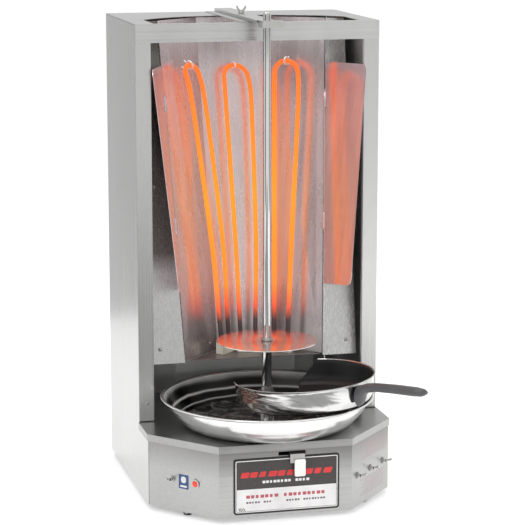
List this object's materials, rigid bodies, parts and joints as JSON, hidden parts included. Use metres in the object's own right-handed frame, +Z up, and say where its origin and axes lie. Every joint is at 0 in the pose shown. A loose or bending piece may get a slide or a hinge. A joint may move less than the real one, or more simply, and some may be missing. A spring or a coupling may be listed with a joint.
{
  "type": "vertical broiler",
  "caption": "Countertop electric vertical broiler with leaning heaters, folding shields, a driven vertical spit on a sliding carriage, drip pan and cut-away skillet.",
  "frame": {"origin": "on the centre plane, below the cabinet's front opening, on the face of the access cover under the base", "axes": "+Z up the cabinet, -Y towards the person carving, +X to that person's right"},
  "size_m": [0.4602, 0.6691, 0.9],
  "materials": {
    "steel": "brushed",
    "bright": "mirror polished",
    "zinc": "zinc plated",
    "heater": "glowing sheath",
    "insulator": "fired insulator",
    "rubber": "matte",
    "handle": "satin",
    "tab": "satin",
    "lens": "clear red",
    "plate": "printed",
    "paint": "satin"
  },
  "bodies": {
    "cabinet": {"access_cover": "steel", "arm_guide": "steel", "back_panel": "steel", "base_front": "steel", "bottom_pan": "steel", "cable_gland": "rubber", "deck_plate": "steel", "face_plate_left": "steel", "face_plate_right": "steel", "foot_front_left": "rubber", "foot_front_right": "rubber", "foot_rear_left": "rubber", "foot_rear_right": "rubber", "heater_centre": "heater", "heater_left": "heater", "heater_right": "heater", "hook_centre": "zinc", "hook_left": "zinc", "hook_right": "zinc", "lamp_bezel": "zinc", "lamp_lens": "lens", "lower_shield": "steel", "name_plate": "plate", "rail_left": "zinc", "rail_right": "zinc", "reflector": "bright", "reflector_floor": "steel", "side_panel_left": "steel", "side_panel_right": "steel", "switch_heat_1": "zinc", "switch_heat_2": "zinc", "switch_heat_3": "zinc", "switch_power": "zinc", "terminal_centre": "insulator", "terminal_left": "insulator", "terminal_right": "insulator", "top_cap": "steel", "wing_pin_left": "zinc", "wing_pin_right": "zinc"},
    "carriage": {"carriage_plate": "zinc", "gearbox": "paint", "gear_motor": "paint", "handle_strap": "zinc", "handle_tab": "tab"},
    "arm": {"top_arm": "steel", "spit_bush": "zinc"},
    "arm_screw": {"arm_screw": "zinc"},
    "drive": {"drive_socket": "zinc"},
    "spit": {"spit_rod": "bright", "meat_disc": "steel", "disc_collar": "zinc"},
    "drip_pan": {"drip_pan": "bright"},
    "skillet": {"skillet_pan": "bright", "skillet_handle": "handle"},
    "wing_left": {"wing_left": "bright"},
    "wing_right": {"wing_right": "bright"},
    "lever_power": {"lever_power": "bright"},
    "lever_heat_1": {"lever_heat_1": "bright"},
    "lever_heat_2": {"lever_heat_2": "bright"},
    "lever_heat_3": {"lever_heat_3": "bright"}
  },
  "joints": [
    {"name": "carriage_slide", "type": "slide", "parent": "cabinet", "child": "carriage", "axis": [0, 1, 0], "range_m": [-0.03, 0.004]},
    {"name": "arm_slide", "type": "slide", "parent": "cabinet", "child": "arm", "axis": [0, 1, 0], "range_m": [-0.03, 0.004]},
    {"name": "arm_screw_turn", "type": "hinge", "parent": "arm", "child": "arm_screw", "pos_m": [0, 0.137, 0.88], "axis": [0, 0, 1], "range_deg": [-90, 270]},
    {"name": "drive_spin", "type": "hinge", "parent": "carriage", "child": "drive", "pos_m": [0, -0.06, 0.15], "axis": [0, 0, 1], "continuous": true},
    {"name": "spit_lift", "type": "slide", "parent": "drive", "child": "spit", "axis": [0, 0, 1], "range_m": [0, 0.05]},
    {"name": "drip_pan_lift", "type": "slide", "parent": "carriage", "child": "drip_pan", "axis": [0, 0, 1], "range_m": [0, 0.025]},
    {"name": "skillet_lift", "type": "slide", "parent": "drip_pan", "child": "skillet", "axis": [0, 0, 1], "range_m": [0, 0.012]},
    {"name": "wing_left_hinge", "type": "hinge", "parent": "cabinet", "child": "wing_left", "pos_m": [-0.14882, 0.0842, 0.6], "axis": [-0.0463, 0.152, 0.9873], "range_deg": [0, 35]},
    {"name": "wing_right_hinge", "type": "hinge", "parent": "cabinet", "child": "wing_right", "pos_m": [0.14882, 0.0842, 0.6], "axis": [0.0463, 0.152, 0.9873], "range_deg": [-35, 0]},
    {"name": "lever_power_tilt", "type": "hinge", "parent": "cabinet", "child": "lever_power", "pos_m": [-0.19602, -0.12653, 0.0595], "axis": [0.6665, -0.7455, 0], "range_deg": [0, 36]},
    {"name": "lever_heat_1_tilt", "type": "hinge", "parent": "cabinet", "child": "lever_heat_1", "pos_m": [0.14283, -0.18602, 0.0595], "axis": [0.6665, 0.7455, 0], "range_deg": [0, 36]},
    {"name": "lever_heat_2_tilt", "type": "hinge", "parent": "cabinet", "child": "lever_heat_2", "pos_m": [0.17982, -0.14465, 0.0595], "axis": [0.6665, 0.7455, 0], "range_deg": [0, 36]},
    {"name": "lever_heat_3_tilt", "type": "hinge", "parent": "cabinet", "child": "lever_heat_3", "pos_m": [0.21655, -0.10357, 0.0595], "axis": [0.6665, 0.7455, 0], "range_deg": [0, 36]}
  ],
  "couplings": [
    {"joint": "arm_slide", "follows": "carriage_slide", "ratio": 1}
  ]
}
